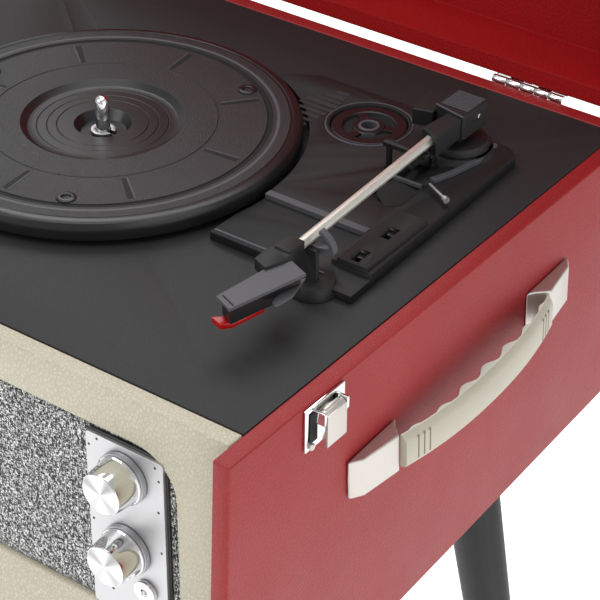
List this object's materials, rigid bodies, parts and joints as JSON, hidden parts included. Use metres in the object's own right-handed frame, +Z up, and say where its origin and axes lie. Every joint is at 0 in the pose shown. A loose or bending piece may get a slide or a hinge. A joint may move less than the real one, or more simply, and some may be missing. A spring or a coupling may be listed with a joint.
{
  "type": "turntable record player",
  "caption": "Suitcase record player on four splayed legs: hinged lid, belt-driven platter with tonearm, tweed loudspeaker grille, two knobs and a carrying handle.",
  "frame": {"origin": "middle of the bounding box on the floor, with the lid open", "axes": "+Z up, -Y towards the front grille, +X towards the handle side"},
  "size_m": [0.4262, 0.4612, 0.8639],
  "materials": {
    "red_leatherette": "red leatherette over board",
    "cream_leatherette": "cream leatherette over board",
    "deck_black": "fine textured black vinyl over board",
    "moulded_black": "satin with a fine grain",
    "platter_black": "satin leather grain",
    "ivory_plastic": "satin",
    "chrome": "polished",
    "silver_panel": "fine satin",
    "arm_silver": "polished",
    "brass": "turned",
    "steel": "plain",
    "tweed": "black and white salt-and-pepper weave",
    "grille_board": "matt black fibreboard",
    "floor_board": "matt black fibreboard",
    "paper_cone": "paper cone on a pressed frame",
    "rubber": "matt",
    "leg_lacquer": "satin black lacquer",
    "circuit_board": "lacquered board with parts",
    "stylus_red": "glossy"
  },
  "bodies": {
    "cabinet": {"side_panel_left": "red_leatherette", "side_panel_right": "red_leatherette", "front_baffle": "cream_leatherette", "back_panel": "red_leatherette", "bottom_panel": "floor_board", "deck_board": "deck_black", "connector_plate": "moulded_black", "grille_cloth": "tweed", "grille_board": "grille_board", "speaker_left": "paper_cone", "speaker_right": "paper_cone", "control_panel": "silver_panel", "volume_potentiometer": "steel", "function_potentiometer": "steel", "headphone_socket": "chrome", "spindle": "chrome", "spindle_clip": "steel", "bearing_bush": "brass", "motor": "steel", "drive_belt": "rubber", "turntable_base": "moulded_black", "hinge_leaf_left": "steel", "hinge_leaf_right": "steel", "handle_grip": "ivory_plastic", "handle_bracket_front": "chrome", "handle_bracket_rear": "chrome", "latch_plate_right": "chrome", "latch_plate_left": "chrome", "amplifier_board": "circuit_board", "leg_plate_front_left": "steel", "leg_plate_front_right": "steel", "leg_plate_rear_left": "steel", "leg_plate_rear_right": "steel", "leg_front_left": "leg_lacquer", "leg_front_right": "leg_lacquer", "leg_rear_left": "leg_lacquer", "leg_rear_right": "leg_lacquer"},
    "platter": {"platter": "platter_black"},
    "pulley": {"motor_pulley": "brass"},
    "turret": {"arm_turret": "moulded_black"},
    "arm": {"arm_housing": "moulded_black", "arm_tube": "arm_silver", "headshell": "moulded_black", "cartridge": "moulded_black", "stylus": "stylus_red"},
    "rest_clip": {"arm_clip": "moulded_black"},
    "cue_lever": {"cue_lever": "moulded_black"},
    "arm_lift": {"arm_lift": "moulded_black"},
    "speed_switch": {"speed_switch": "moulded_black"},
    "stop_switch": {"stop_switch": "moulded_black"},
    "volume_knob": {"volume_knob": "chrome"},
    "function_knob": {"function_knob": "chrome"},
    "adapter": {"adapter_45": "moulded_black"},
    "latch_right": {"latch_lever_right": "chrome"},
    "latch_left": {"latch_lever_left": "chrome"},
    "lid": {"lid_shell": "red_leatherette", "lid_catch_right": "chrome", "lid_catch_left": "chrome", "lid_hinge_leaf_left": "steel", "lid_hinge_leaf_right": "steel"}
  },
  "joints": [
    {"name": "platter_spin", "type": "hinge", "parent": "cabinet", "child": "platter", "pos_m": [-0.01405, -0.05414, 0.54], "axis": [0, 0, -1], "continuous": true},
    {"name": "pulley_spin", "type": "hinge", "parent": "cabinet", "child": "pulley", "pos_m": [-0.06605, 0.00636, 0.536], "axis": [0, 0, -1], "continuous": true},
    {"name": "arm_swing", "type": "hinge", "parent": "cabinet", "child": "turret", "pos_m": [0.13545, 0.03386, 0.544], "axis": [0, 0, -1], "range_deg": [0, 44]},
    {"name": "arm_raise", "type": "hinge", "parent": "turret", "child": "arm", "pos_m": [0.13545, 0.03386, 0.5565], "axis": [-1, 0, 0], "range_deg": [0, 6]},
    {"name": "rest_clip_turn", "type": "hinge", "parent": "cabinet", "child": "rest_clip", "pos_m": [0.14445, -0.09814, 0.5515], "axis": [0, -1, 0], "range_deg": [0, 60]},
    {"name": "cue_lever_turn", "type": "hinge", "parent": "cabinet", "child": "cue_lever", "pos_m": [0.13085, 0.01236, 0.541], "axis": [1, 0, 0], "range_deg": [0, 20]},
    {"name": "arm_lift_travel", "type": "slide", "parent": "cabinet", "child": "arm_lift", "axis": [0, 0, 1], "range_m": [-0.0045, 0]},
    {"name": "speed_switch_slide", "type": "slide", "parent": "cabinet", "child": "speed_switch", "axis": [0, -1, 0], "range_m": [0, 0.004]},
    {"name": "stop_switch_slide", "type": "slide", "parent": "cabinet", "child": "stop_switch", "axis": [0, -1, 0], "range_m": [0, 0.004]},
    {"name": "volume_turn", "type": "hinge", "parent": "cabinet", "child": "volume_knob", "pos_m": [0.12895, -0.22014, 0.4898], "axis": [0, 1, 0], "range_deg": [0, 280]},
    {"name": "function_turn", "type": "hinge", "parent": "cabinet", "child": "function_knob", "pos_m": [0.12895, -0.22014, 0.4504], "axis": [0, 1, 0], "range_deg": [0, 90]},
    {"name": "adapter_lift_out", "type": "slide", "parent": "cabinet", "child": "adapter", "axis": [0, 0, 1], "range_m": [0, 0.03]},
    {"name": "latch_right_turn", "type": "hinge", "parent": "cabinet", "child": "latch_right", "pos_m": [0.19925, -0.15964, 0.5258], "axis": [0, -1, 0], "range_deg": [0, 100]},
    {"name": "latch_left_turn", "type": "hinge", "parent": "cabinet", "child": "latch_left", "pos_m": [-0.21035, -0.15964, 0.5258], "axis": [0, 1, 0], "range_deg": [0, 100]},
    {"name": "lid_hinge", "type": "hinge", "parent": "cabinet", "child": "lid", "pos_m": [-0.00555, 0.11496, 0.532], "axis": [1, 0, 0], "range_deg": [0, 100]}
  ],
  "couplings": [
    {"joint": "pulley_spin", "follows": "platter_spin", "ratio": 10},
    {"joint": "arm_lift_travel", "follows": "cue_lever_turn", "m_per_rad": -0.0128}
  ]
}
